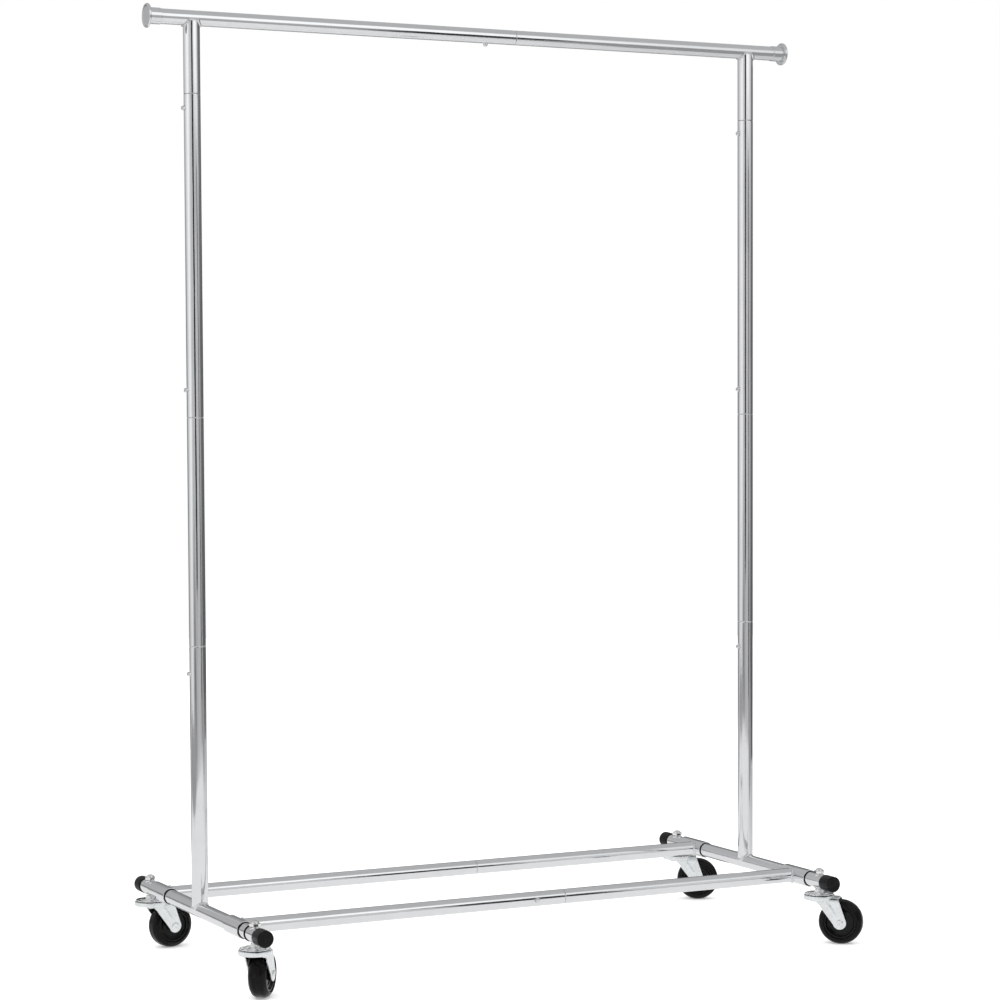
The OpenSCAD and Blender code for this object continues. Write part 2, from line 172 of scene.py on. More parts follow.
def placed(shape, matrix):
    verts, faces = shape
    m = np.array(matrix)
    out = verts @ m[:3, :3].T + m[:3, 3]
    if np.linalg.det(m[:3, :3]) < 0:
        faces = [list(reversed(f)) for f in faces]
    return out, faces


def joined(shapes):
    verts, faces, base = [], [], 0
    for v, f in shapes:
        verts.append(v)
        faces.extend([[i + base for i in face] for face in f])
        base += len(v)
    return np.concatenate(verts), faces


ALONG_X = turn("Y", 90)
ALONG_Y = turn("X", -90)


def mesh_of(name, shape):
    verts, faces = shape
    mesh = bpy.data.meshes.new(name)
    mesh.from_pydata((np.asarray(verts) * MM).tolist(), [], faces)
    mesh.validate()
    bm = bmesh.new()
    bm.from_mesh(mesh)
    bmesh.ops.recalc_face_normals(bm, faces=bm.faces)
    bm.to_mesh(mesh)
    bm.free()
    return mesh


def baked(obj):
    """Applies the modifiers of an object to its mesh."""
    graph = bpy.context.evaluated_depsgraph_get()
    mesh = bpy.data.meshes.new_from_object(obj.evaluated_get(graph))
    obj.modifiers.clear()
    obj.data = mesh
    return obj


def new_object(name, shape):
    obj = bpy.data.objects.new(name, mesh_of(name, shape))
    bpy.context.scene.collection.objects.link(obj)
    return obj


def cut_away(obj, cutters):
    """Cuts shapes out of an object."""
    tool = new_object("cutter", joined(cutters))
    modifier = obj.modifiers.new("cut", "BOOLEAN")
    modifier.operation = "DIFFERENCE"
    modifier.solver = "EXACT"
    modifier.object = tool
    baked(obj)
    bpy.data.objects.remove(tool)
    return obj


def piece(obj, material, body, slot, *nodes, sharp=32):
    """Finishes a piece: smooth shading, material, body and what it stands for."""
    obj.data.materials.clear()
    obj.data.materials.append(material)
    obj.data.shade_smooth()
    obj.data.set_sharp_from_angle(angle=math.radians(sharp))
    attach(obj, body)
    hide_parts(*nodes)
    return obj


# ------------------------------------------------------------------ materials


class Nodes:
    """Short way to write a node tree."""

    def __init__(self, tree):
        self.tree = tree

    def node(self, kind, **settings):
        n = self.tree.nodes.new(kind)
        for key, value in settings.items():
            setattr(n, key, value)
        return n

    def set(self, socket, value):
        if hasattr(value, "links"):
            self.tree.links.new(value, socket)
        else:
            socket.default_value = value

    def math(self, operation, a, b=0.0):
        n = self.node("ShaderNodeMath", operation=operation)
        self.set(n.inputs[0], a)
        self.set(n.inputs[1], b)
        return n.outputs[0]

    def remap(self, value, low, high, to_low=0.0, to_high=1.0, smooth=False):
        n = self.node("ShaderNodeMapRange")
        if smooth:
            n.interpolation_type = "SMOOTHSTEP"
        self.set(n.inputs["Value"], value)
        for key, v in (("From Min", low), ("From Max", high), ("To Min", to_low), ("To Max", to_high)):
            n.inputs[key].default_value = v
        return n.outputs["Result"]

    def mix(self, factor, a, b):
        n = self.node("ShaderNodeMix", data_type="RGBA")
        self.set(n.inputs[0], factor)
        self.set(n.inputs[6], a)
        self.set(n.inputs[7], b)
        return n.outputs[2]

    def noise(self, vector, scale, detail=2.0, rough=0.5):
        n = self.node("ShaderNodeTexNoise")
        self.set(n.inputs["Vector"], vector)
        n.inputs["Scale"].default_value = scale
        n.inputs["Detail"].default_value = detail
        n.inputs["Roughness"].default_value = rough
        return n.outputs["Fac"]

    def stretched(self, vector, scale):
        n = self.node("ShaderNodeMapping")
        self.set(n.inputs["Vector"], vector)
        n.inputs["Scale"].default_value = scale
        return n.outputs["Vector"]

    def bump(self, height, strength, distance, normal=None):
        n = self.node("ShaderNodeBump")
        self.set(n.inputs["Height"], height)
        n.inputs["Strength"].default_value = strength
        n.inputs["Distance"].default_value = distance
        if normal is not None:
            self.set(n.inputs["Normal"], normal)
        return n.outputs["Normal"]


def material(name, metallic=0.0, **uniform):
    mat = bpy.data.materials.new(name)
    mat.use_nodes = True
    n = Nodes(mat.node_tree)
    shader = mat.node_tree.nodes["Principled BSDF"]
    shader.inputs["Metallic"].default_value = metallic
    for key, value in uniform.items():
        shader.inputs[key.replace("_", " ")].default_value = value
    where = n.node("ShaderNodeTexCoord").outputs["Object"]
    return mat, n, shader, where


def rgb(r, g, b):
    return (r, g, b, 1.0)


def chrome(name, along, tone=(0.86, 0.87, 0.885), rough=(0.05, 0.10), haze=0.05):
    """Plated tube: hairline polish lines around the tube, a faint wave, finger haze and a few specks."""
    mat, n, shader, where = material(name, metallic=1.0)
    long_axis = {"x": (1, 8, 8), "y": (8, 1, 8), "z": (8, 8, 1)}[along]
    cross_axis = {"x": (60, 1, 1), "y": (1, 60, 1), "z": (1, 1, 60)}[along]
    patches = n.noise(where, 14, 3, 0.6)
    lines = n.noise(n.stretched(where, cross_axis), 40, 2, 0.6)
    draw = n.noise(n.stretched(where, long_axis), 90, 2, 0.5)
    specks = n.noise(where, 900, 1, 0.5)
    worn = n.remap(patches, 0.45, 0.75)
    speck = n.remap(specks, 0.70, 0.76)
    base = n.mix(worn, rgb(*tone), rgb(*[c * 0.96 for c in tone]))
    base = n.mix(n.math("MULTIPLY", speck, 0.35), base, rgb(0.45, 0.45, 0.46))
    n.set(shader.inputs["Base Color"], base)
    r = n.remap(lines, 0.3, 0.8, rough[0], rough[1])
    r = n.math("ADD", r, n.math("MULTIPLY", worn, haze))
    r = n.math("ADD", r, n.math("MULTIPLY", speck, 0.15))
    n.set(shader.inputs["Roughness"], r)
    wave = n.noise(n.stretched(where, long_axis), 16, 1, 0.4)
    normal = n.bump(wave, 0.35, 0.0004)
    normal = n.bump(draw, 0.12, 0.00006, normal)
    n.set(shader.inputs["Normal"], n.bump(lines, 0.06, 0.00003, normal))
    return mat


def weld_metal():
    """Plated weld bead: bright, with ripples of its own and painted shade darkening its valleys."""
    mat, n, shader, where = material("weld_bead_chrome", metallic=1.0)
    ripple_height_and_valley_shade = n.noise(where, 420, 3, 0.6)
    fine = n.noise(where, 1500, 2, 0.5)
    # Painted shade: the base colour drops from 0.92 to 0.62 where the ripple height is low, in the bead's
    # valleys.
    tone = n.mix(n.remap(ripple_height_and_valley_shade, 0.3, 0.6), rgb(0.62, 0.63, 0.64), rgb(0.92, 0.92, 0.93))
    n.set(shader.inputs["Base Color"], tone)
    n.set(shader.inputs["Roughness"], n.remap(fine, 0.3, 0.7, 0.10, 0.26))
    normal = n.bump(ripple_height_and_valley_shade, 0.5, 0.0006)
    n.set(shader.inputs["Normal"], n.bump(fine, 0.25, 0.00015, normal))
    return mat


def zinc(name, tone, rough, grain=260):
    """Clear zinc on pressed steel: soft spangle, draw lines and small scuffs."""
    mat, n, shader, where = material(name, metallic=1.0)
    cells = n.node("ShaderNodeTexVoronoi")
    n.set(cells.inputs["Vector"], where)
    cells.inputs["Scale"].default_value = grain
    spangle = n.remap(cells.outputs["Distance"], 0.0, 0.6)
    cloud = n.noise(where, 60, 4, 0.6)
    scuff = n.remap(n.noise(n.stretched(where, (1, 5, 1)), 420, 3, 0.7), 0.60, 0.72)
    pale = tuple(min(1, c * 1.07) for c in tone)
    dull = tuple(c * 0.95 for c in tone)
    base = n.mix(n.remap(cloud, 0.35, 0.65), rgb(*dull), rgb(*pale))
    base = n.mix(n.math("MULTIPLY", spangle, 0.07), base, rgb(*[c * 0.82 for c in tone]))
    base = n.mix(n.math("MULTIPLY", scuff, 0.3), base, rgb(0.95, 0.95, 0.95))
    n.set(shader.inputs["Base Color"], base)
    r = n.remap(cloud, 0.3, 0.7, rough - 0.05, rough + 0.07)
    n.set(shader.inputs["Roughness"], n.math("ADD", r, n.math("MULTIPLY", scuff, 0.1)))
    normal = n.bump(cloud, 0.15, 0.00005)
    n.set(shader.inputs["Normal"], n.bump(spangle, 0.04, 0.00002, normal))
    return mat


def plastic(name, tone, rough, pit=700, depth=0.00012, lift=1.8, **uniform):
    """Moulded black plastic or rubber: fine pitting, dust in the low spots and rubbed patches."""
    mat, n, shader, where = material(name, **uniform)
    cloud = n.noise(where, 45, 4, 0.6)
    pits = n.noise(where, pit, 2, 0.6)
    dust = n.remap(n.noise(where, 190, 4, 0.7), 0.52, 0.75)
    rubbed = tuple(c * lift for c in tone)
    base = n.mix(n.remap(cloud, 0.4, 0.7), rgb(*tone), rgb(*rubbed))
    base = n.mix(n.math("MULTIPLY", dust, 0.04), base, rgb(0.06, 0.059, 0.057))
    n.set(shader.inputs["Base Color"], base)
    r = n.remap(cloud, 0.3, 0.7, rough - 0.05, rough + 0.06)
    n.set(shader.inputs["Roughness"], n.math("ADD", r, n.math("MULTIPLY", dust, 0.10)))
    n.set(shader.inputs["Normal"], n.bump(pits, 0.35, depth))
    return mat


CHROME_X = chrome("tube_chrome_bar", "x")
CHROME_Y = chrome("tube_chrome_side", "y")
CHROME_Z = chrome("tube_chrome_post", "z")
CHROME_END = chrome("bar_end_chrome", "x", tone=(0.84, 0.85, 0.86), rough=(0.09, 0.16))
WELD = weld_metal()
ZINC = zinc("fork_zinc", (0.90, 0.93, 0.945), 0.27)
ZINC_BRIGHT = zinc("stem_zinc", (0.91, 0.92, 0.925), 0.12, grain=500)
NUT_METAL = zinc("nut_plate", (0.93, 0.93, 0.925), 0.10, grain=600)
BALL_STEEL = zinc("ball_steel", (0.75, 0.75, 0.76), 0.12, grain=900)
BUTTON_STEEL = zinc("button_steel", (0.80, 0.80, 0.80), 0.20, grain=900)
CAP_PLASTIC = plastic("cap_plastic", (0.004, 0.004, 0.0044), 0.36, pit=900, Specular_IOR_Level=0.14)
NYLON = plastic("bush_nylon", (0.003, 0.003, 0.0033), 0.30, pit=1200, Specular_IOR_Level=0.2)
RUBBER = plastic("tyre_rubber", (0.0020, 0.0020, 0.0022), 0.22, pit=1400, depth=0.00004,
                 Specular_IOR_Level=0.15)
WHEEL_PLASTIC = plastic("wheel_plastic", (0.0016, 0.0016, 0.0018), 0.12, pit=1600, depth=0.00002,
                        Specular_IOR_Level=0.22)

# ------------------------------------------------------------------ tubes

BUTTON_R = 4.0
BUTTON_FOOT_R = 5.5         # the button's foot inside the neck
BUTTON_RISE = 5.5           # how far a button stands out of its tube
BUTTON_HOLE_R = BUTTON_R + 0.15
DIMPLE_R = 5.4              # pressed rim around a button's hole
DIMPLE_DEPTH = 1.1
STEM_HOLE_R = 5.2
COPE_L = 80                 # length of the cutter that shapes a welded end
SEGMENTS = 160


def tube_profile(r, low, high, neck_low=0.0, neck_high=0.0, neck_r=0.0,
                 low_edge=EDGE, high_edge=EDGE):
    """Closed outline of a tube along Z with a reduced neck past either end."""
    inner, neck_in, step, lead = r - WALL, neck_r - WALL, 2.0, 1.2
    if neck_low:
        start = [(neck_in, low - neck_low, 0.2), (neck_r - 0.6, low - neck_low, 0.2),
                 (neck_r, low - neck_low + lead, 0.4), (neck_r, low, 0.3), (r, low, low_edge)]
    else:
        start = [(inner, low, 0.25), (r, low, low_edge)]
    if neck_high:
        end = [(r, high, high_edge), (neck_r, high, 0.3), (neck_r, high + neck_high - lead, 0.4),
               (neck_r - 0.6, high + neck_high, 0.2), (neck_in, high + neck_high, 0.2)]
        end += [(neck_in, high - step, 0.4), (inner, high - 2 * step, 0.4)]
    else:
        end = [(r, high, high_edge), (inner, high, 0.25)]
    if neck_low:
        end += [(inner, low + 2 * step, 0.4), (neck_in, low + step, 0.4)]
    return rounded(start + end)


def tube(r, low, high, **necks):
    return lathe(tube_profile(r, low, high, **necks), SEGMENTS)


def drill(r):
    """Cutter for a button hole with a pressed rim, along +Z from the tube's axis."""
    return lathe([(0, 0), (BUTTON_HOLE_R, 0), (BUTTON_HOLE_R, r - DIMPLE_DEPTH),
                  (DIMPLE_R, r - 0.25), (DIMPLE_R + 1.6, r + 1), (0, r + 1)], 48, closed=False)


def rod(r, length):
    """Plain round cutter along Z, centred."""
    half = length / 2
    return lathe([(0, -half), (r, -half), (r, half), (0, half)], SEGMENTS, closed=False)


# Heights of the posts' buttons; the middle one's leaf spring hangs, the others' stand up
LEVELS = ("lower", "middle", "upper")
BUTTON_Z = {}
for tier in LEVELS:
    low, high = span(f"button_{tier}_left")
    BUTTON_Z[tier] = high[Z] - BUTTON_FOOT_R if tier == "middle" else low[Z] + BUTTON_FOOT_R
BAR_BUTTON_X = span("button_bar")[0][X] + BUTTON_FOOT_R
# Which way each level tube's button points: the turn about X from straight down
TILT = {"bar": 0, "front": -90, "rear": 90}


def post_drill(side, z):
    return placed(drill(POST_R), move(side * POST_X, 0, z) @ turn("Y", -90))


def bar_drill(y, z, tilt):
    return placed(drill(BAR_R), move(BAR_BUTTON_X, y, z) @ turn("X", tilt) @ turn("X", 180))


POST_NECK_L = Z_LOW - span("middle_post_left")[0][Z]
TEE_NECK_L = Z_TOP - span("top_tee_left")[0][Z]
BAR_NECK_L = SPLIT_X - span("hang_bar_right")[0][X]
WELDED_EDGE = 0.3
WELD_IN = 3                 # distance from the crossing tube's axis at which a coped end starts

for side_name, side in SIDES.items():
    at_post = move(side * POST_X, 0, 0)
    node = f"lower_post_{side_name}"
    shape = tube(POST_R, Z_SIDE + WELD_IN, Z_LOW, low_edge=WELDED_EDGE)
    obj = new_object(f"{node}_tube", placed(shape, at_post))
    cope = placed(rod(BAR_R + SNUG, COPE_L), move(side * POST_X, 0, Z_SIDE) @ ALONG_Y)
    cut_away(obj, [cope, post_drill(side, BUTTON_Z["lower"])])
    piece(obj, CHROME_Z, "frame", "tube_chrome", node)

    node = f"middle_post_{side_name}"
    shape = tube(POST_R, Z_LOW + SEAM, Z_MID - SEAM,
                 neck_low=POST_NECK_L, neck_high=POST_NECK_L, neck_r=POST_NECK_R)
    obj = new_object(f"{node}_tube", placed(shape, at_post))
    cut_away(obj, [post_drill(side, BUTTON_Z["lower"]), post_drill(side, BUTTON_Z["middle"])])
    piece(obj, CHROME_Z, "frame", "tube_chrome", node)

    node = f"upper_post_{side_name}"
    obj = new_object(f"{node}_tube", placed(tube(POST_R, Z_MID, Z_TOP), at_post))
    cut_away(obj, [post_drill(side, BUTTON_Z["middle"]), post_drill(side, BUTTON_Z["upper"])])
    piece(obj, CHROME_Z, "frame", "tube_chrome", node)

    node = f"top_tee_{side_name}"
    shape = tube(POST_R, Z_TOP + SEAM, Z_BAR - WELD_IN,
                 neck_low=TEE_NECK_L, neck_r=POST_NECK_R, high_edge=WELDED_EDGE)
    obj = new_object(f"{node}_tube", placed(shape, at_post))
    cope = placed(rod(BAR_R + SNUG, COPE_L), move(side * POST_X, 0, Z_BAR) @ ALONG_X)
    cut_away(obj, [cope, post_drill(side, BUTTON_Z["upper"])])
    piece(obj, CHROME_Z, "frame", "tube_chrome", node)

    node = f"side_tube_{side_name}"
    low, high = span(node)
    shape = placed(tube(BAR_R, low[Y], high[Y]), move(side * POST_X, 0, Z_SIDE) @ ALONG_Y)
    obj = new_object(f"{node}_tube", shape)
    cut_away(obj, [placed(rod(STEM_HOLE_R, 60), move(side * POST_X, end * CASTER_Y, Z_SIDE))
                   for end in (FRONT, REAR)])
    piece(obj, CHROME_Y, "frame", "tube_chrome", node)

BARS = {"hang_bar": ("bar", 0.0, Z_BAR), "front_rail": ("front", -RAIL_Y, Z_SIDE),
        "rear_rail": ("rear", RAIL_Y, Z_SIDE)}
for bar_name, (tilt_name, y, z) in BARS.items():
    for side_name, side in SIDES.items():
        node = f"{bar_name}_{side_name}"
        low, high = span(node)
        at_bar = move(0, y, z) @ ALONG_X
        if side == LEFT:
            shape = tube(BAR_R, low[X], SPLIT_X)
        else:
            shape = tube(BAR_R, SPLIT_X + SEAM, high[X], neck_low=BAR_NECK_L, neck_r=BAR_NECK_R)
        obj = new_object(f"{node}_tube", placed(shape, at_bar))
        cutters = [bar_drill(y, z, TILT[tilt_name])]
        if bar_name != "hang_bar":
            cutters.append(placed(rod(SLEEVE_R - 0.6, COPE_L), move(side * POST_X, y, z) @ ALONG_Y))
        cut_away(obj, cutters)
        piece(obj, CHROME_X, "frame", "tube_chrome", node)

# Pressed ends of the hanging bar: a shallow dished disc with a hollow back, and a collar on the tube
CUP_WALL = 1.9
for side_name, side in SIDES.items():
    node = f"bar_end_{side_name}"
    low, high = span(node)
    disc_r = (high[Z] - low[Z]) / 2
    collar_r, length = BAR_R + 1.0, high[X] - low[X]
    outline = [(0, 0.7, 0), (disc_r - 5.5, 0.6, 3), (disc_r - 3, 0, 1.5), (disc_r, 0, 1.9),
               (disc_r, 4.2, 1.9), (disc_r - 2.4, 4.2, 1.1), (disc_r - 3.0, CUP_WALL, 0.6),
               (collar_r + 0.7, CUP_WALL, 0.6), (collar_r, 3.2, 0.5), (collar_r, length, 0.5),
               (BAR_R + SNUG, length, 0.1), (BAR_R + SNUG, CUP_WALL, 0.2), (0, CUP_WALL, 0)]
    shape = turned(outline, 128, closed=False, steps=7)
    x = high[X] if side == RIGHT else low[X]
    obj = new_object(f"{node}_cup", placed(shape, move(x, 0, Z_BAR) @ turn("Y", -side * 90)))
    piece(obj, CHROME_END, "frame", "end_chrome", node)

# ------------------------------------------------------------------ sleeves, bushes, caps

FLANGE_R = BAR_R + 1.3      # thin black ring that shows past a sleeve's end
FLANGE_T = 1.2
BUSH_BORE = BAR_R + 0.06
BUSH_R = BAR_R + 0.98
BUSH_L = 20
SLEEVE_BORE = SLEEVE_R - 1.45
SPACER_Y, SPACER_T, SPACER_R = 246.2, 1.1, FLANGE_R + 0.3


def end_and_side(corner):
    end, side = corner.split("_")
    return ENDS[end], SIDES[side]


bushes = []
for corner in CORNERS:
    end, side = end_and_side(corner)
    node = f"sleeve_{corner}"
    low, high = span(node)
    near, far = sorted((abs(low[Y]), abs(high[Y])))
    outward = move(side * POST_X, 0, Z_SIDE) @ turn("Z", 180 if end == FRONT else 0) @ ALONG_Y
    outline = [(SLEEVE_BORE, near, 0.2), (SLEEVE_R, near, 0.5),
               (SLEEVE_R, far, 0.5), (SLEEVE_BORE, far, 0.2)]
    obj = new_object(f"{node}_tube", placed(lathe(rounded(outline), 128), outward))
    piece(obj, CHROME_Y, "frame", "tube_chrome", node)
    for at, sign in ((near, -1), (far, 1)):
        face, outer, tip = at + sign * 0.06, at + sign * FLANGE_T, at - sign * BUSH_L
        outline = [(BUSH_BORE, outer, 0.25), (FLANGE_R, outer, 0.5), (FLANGE_R, face, 0.3),
                   (BUSH_R, face, 0.0), (BUSH_R, tip, 0.2), (BUSH_BORE, tip, 0.1)]
        bushes.append(placed(lathe(rounded(outline, steps=4), 128), outward))
# The lone ring beside the front left caster
outline = [(BUSH_BORE, SPACER_Y, 0.3), (SPACER_R, SPACER_Y, 0.4),
           (SPACER_R, SPACER_Y + SPACER_T, 0.4), (BUSH_BORE, SPACER_Y + SPACER_T, 0.3)]
front_left_way = move(-POST_X, 0, Z_SIDE) @ turn("Z", 180) @ ALONG_Y
bushes.append(placed(lathe(rounded(outline, steps=4), 128), front_left_way))
piece(new_object("sleeve_bushes_rings", joined(bushes)), NYLON, "frame", "black_nylon", "sleeve_bushes")

CAP_L = 29.0
CAP_END = 2.56
caps = []
for side in SIDES.values():
    for end in ENDS.values():
        outline = [(0, 0.35, 0), (CAP_R - 4.2, 0.35, 0.4), (CAP_R - 3.6, 0.0, 0.5), (CAP_R, 0, 1.4),
                   (CAP_R, CAP_L - 4, 0.0), (CAP_R - 0.05, CAP_L - 3.8, 0.0), (CAP_R - 0.2, CAP_L, 0.6),
                   (BUSH_BORE, CAP_L, 0.2), (BUSH_BORE, CAP_END, 0.1), (0, CAP_END, 0)]
        at_cap = move(side * POST_X, end * CAP_Y, Z_SIDE) @ turn("X", end * 90)
        caps.append(placed(turned(outline, 128, closed=False), at_cap))
piece(new_object("tube_caps_moulded", joined(caps)), CAP_PLASTIC, "frame", "cap_plastic", "tube_caps")

# ------------------------------------------------------------------ welds


def bead(r, across_r, seed, width=2.0, segments=200, around=14):
    """Weld bead where a tube of radius r along Z meets one of radius across_r along Y."""
    rng = np.random.default_rng(seed)
    phase = rng.uniform(0, 2 * math.pi, 4)
    t = np.linspace(0, 2 * math.pi, segments, endpoint=False)
    lean = 0.35
    x, y = (r + lean) * np.cos(t), (r + lean) * np.sin(t)
    z = np.sqrt(np.maximum((across_r + lean) ** 2 - x ** 2, 3.6 ** 2))
    path = np.stack([x, y, z], 1)
    tangent = np.roll(path, -1, 0) - np.roll(path, 1, 0)
    tangent /= np.linalg.norm(tangent, axis=1)[:, None]
    out = np.stack([np.cos(t), np.sin(t), 0 * t], 1)
    out -= (out * tangent).sum(1)[:, None] * tangent
    out /= np.linalg.norm(out, axis=1)[:, None]
    up = np.cross(tangent, out)
    ripple = 0.10 * np.sin(37 * t + phase[0] + 1.2 * np.sin(5 * t))
    swell = 0.10 * np.sin(3 * t + phase[1])
    size = width * (1 + ripple + swell + 0.06 * np.sin(11 * t + phase[2]))
    verts, faces = [], []
    for i in range(segments):
        for k in range(around):
            a = 2 * math.pi * k / around
            verts.append(path[i] + size[i] * (math.cos(a) * out[i] + math.sin(a) * up[i]))
    for i in range(segments):
        j = (i + 1) % segments
        for k in range(around):
            m = (k + 1) % around
            faces.append([i * around + k, j * around + k, j * around + m, i * around + m])
    return np.array(verts), faces


beads = []
for i, side in enumerate(SIDES.values()):
    beads.append(placed(bead(POST_R, BAR_R, 10 + i), move(side * POST_X, 0, Z_SIDE)))
    under_bar = move(side * POST_X, 0, Z_BAR) @ turn("Z", 90) @ turn("Y", 180)
    beads.append(placed(bead(POST_R, BAR_R, 20 + i, 2.3), under_bar))
    for j, end in enumerate(ENDS.values()):
        place = move(side * POST_X, end * RAIL_Y, Z_SIDE) @ turn("Y", -side * 90)
        beads.append(placed(bead(BAR_R, SLEEVE_R, 30 + 2 * i + j, 1.9), place))
piece(new_object("weld_beads_rippled", joined(beads)), WELD, "frame", "weld_chrome", "weld_beads", sharp=60)

# ------------------------------------------------------------------ caster fixings

STEM_R = 5.0
CUP_Z = 90.2                # underside of the upper race cup
CROWN_Z = 84.0              # underside of the fork's crown
WASHER_R = 9.5
WASHER_T = 1.6
NUT_Z = Z_SIDE + BAR_R + WASHER_T
NUT_FLATS, NUT_H = 18.0, 4.8
DOME_R, DOME_H = 7.0, 4.0
BALL_RING_R, BALL_R, BALL_Z, BALL_COUNT = 20.0, 2.0, 88.6, 16


def saddle(flip):
    """A washer bent over the tube."""
    count = 72
    section = rounded([(STEM_HOLE_R, SNUG, 0.2), (WASHER_R, SNUG, 0.5),
                       (WASHER_R, WASHER_T, 0.5), (STEM_HOLE_R, WASHER_T, 0.4)], steps=3)
    verts, faces = [], []
    for i in range(count):
        a = 2 * math.pi * i / count
        for rho, h in section:
            x, y = rho * math.cos(a), rho * math.sin(a)
            verts.append((x, y, flip * math.sqrt((BAR_R + h) ** 2 - x * x)))
    rows = len(section)
    for i in range(count):
        j = (i + 1) % count
        for k in range(rows):
            m = (k + 1) % rows
            faces.append([i * rows + k, j * rows + k, j * rows + m, i * rows + m])
    return np.array(verts), faces


def acorn_nut():
    """Hexagon with a chamfered top, and a dome."""
    count, half, sixth = 144, NUT_FLATS / 2, math.pi / 6
    angles = np.linspace(0, 2 * math.pi, count, endpoint=False) + sixth
    in_sector = (angles + sixth) % (2 * sixth) - sixth
    hexagon = np.minimum(half / np.cos(in_sector), half / math.cos(sixth) - 0.35)
    top = NUT_H - (hexagon - half + 0.5) * 0.55

    def circle(r, z):
        return np.full(count, r), np.full(count, z)

    rows = [circle(STEM_R + 0.06, 0.0), (hexagon - 0.35, np.full(count, 0.0)),
            (hexagon, np.full(count, 0.35)), (hexagon, top - 0.15), (hexagon - 0.2, top),
            circle(half - 0.6, NUT_H), circle(DOME_R + 0.5, NUT_H), circle(DOME_R + 0.15, NUT_H + 0.15),
            circle(DOME_R, NUT_H + 0.5)]
    for k in range(1, 13):
        a = k / 12 * math.pi / 2
        rows.append(circle(max(DOME_R * math.cos(a), 0.01), NUT_H + 0.5 + DOME_H * math.sin(a)))
    verts, faces = [], []
    for r, z in rows:
        verts.extend(zip(r * np.cos(angles), r * np.sin(angles), z))
    for k in range(len(rows) - 1):
        for i in range(count):
            j = (i + 1) % count
            faces.append([k * count + i, k * count + j, (k + 1) * count + j, (k + 1) * count + i])
    faces.append([(len(rows) - 1) * count + i for i in range(count)])
    faces.append([i for i in reversed(range(count))])
    return np.array(verts), faces


def ball():
    steps = 12
    turns = [math.pi * k / steps for k in range(steps + 1)]
    arc = [(BALL_R * math.sin(a), -BALL_R * math.cos(a)) for a in turns]
    arc[0], arc[-1] = (0, -BALL_R), (0, BALL_R)
    return lathe(arc, 20, closed=False)


def at_corner(corner):
    end, side = end_and_side(corner)
    return move(side * POST_X, end * CASTER_Y, 0)


def at_caster(corner):
    """The caster's own place: +X is the way that the wheel trails."""
    return at_corner(corner) @ turn("Z", 90 - HEADING[corner])


washers, nuts, balls = [], [], []
for i, corner in enumerate(CORNERS):
    for flip in (1, -1):
        washers.append(placed(saddle(flip), at_corner(corner) @ move(0, 0, Z_SIDE)))
    nuts.append(placed(acorn_nut(), at_corner(corner) @ move(0, 0, NUT_Z) @ turn("Z", 17 + 41 * i)))
    for k in range(BALL_COUNT):
        in_race = turn("Z", 360 / BALL_COUNT * k) @ move(BALL_RING_R, 0, BALL_Z)
        balls.append(placed(ball(), at_corner(corner) @ in_race))
obj = new_object("saddle_washers_curved", joined(washers))
piece(obj, NUT_METAL, "frame", "bright_zinc", "saddle_washers")
obj = new_object("cap_nuts_domed", joined(nuts))
piece(obj, NUT_METAL, "frame", "bright_zinc", "cap_nuts", sharp=28)
obj = new_object("race_balls_round", joined(balls))
piece(obj, BALL_STEEL, "frame", "bearing_steel", "race_balls")

# ------------------------------------------------------------------ casters

LEG_IN, LEG_T = 17.5, 2.5   # inside face of a leg from the wheel's middle, and the sheet's thickness
LEG_END_R = 12.3
LEG_TOP = 79.0              # above this height the sheet is the crown, not a leg
CROWN_FRONT = -14.0
# The front edge is an arc below the crown, then a straight slope down to the rounded end
ARC_X, ARC_Z, ARC_R = -11, 60, 19.0
SLOPE_X, SLOPE_Z, SLOPE = 6, 68, 23.3 / 30.7
# The rear edge is straight between these heights
REAR_TOP, REAR_LOW = 86.5, 43.46
REAR_REACH = 15.05
RIB_RISE, RIB_W = 0.7, 2.2  # pressed rib down the middle of a leg
CROWN_R = 29.0


def leg_edges(z):
    """Front and rear edge of a fork leg at height z, in the fork's own X."""
    if z > LEG_TOP:
        front = CROWN_FRONT
    else:
        arc = ARC_X + math.sqrt(max(0.0, ARC_R ** 2 - (z - ARC_Z) ** 2))
        front = max(arc, SLOPE_X + (SLOPE_Z - z) * SLOPE)
    rear = TRAIL - 3 + (REAR_TOP - z) * REAR_REACH / (REAR_TOP - REAR_LOW)
    bottom = WHEEL_R - LEG_END_R
    if z < WHEEL_R + 3:
        half = math.sqrt(max(0.0, LEG_END_R ** 2 - (z - WHEEL_R) ** 2))
        low_front, low_rear = TRAIL - half, TRAIL + half
        if z < WHEEL_R - 3.6:
            front = low_front
        if z < REAR_LOW:
            rear = low_rear
    if z <= bottom:
        front = rear = TRAIL
    return front, rear


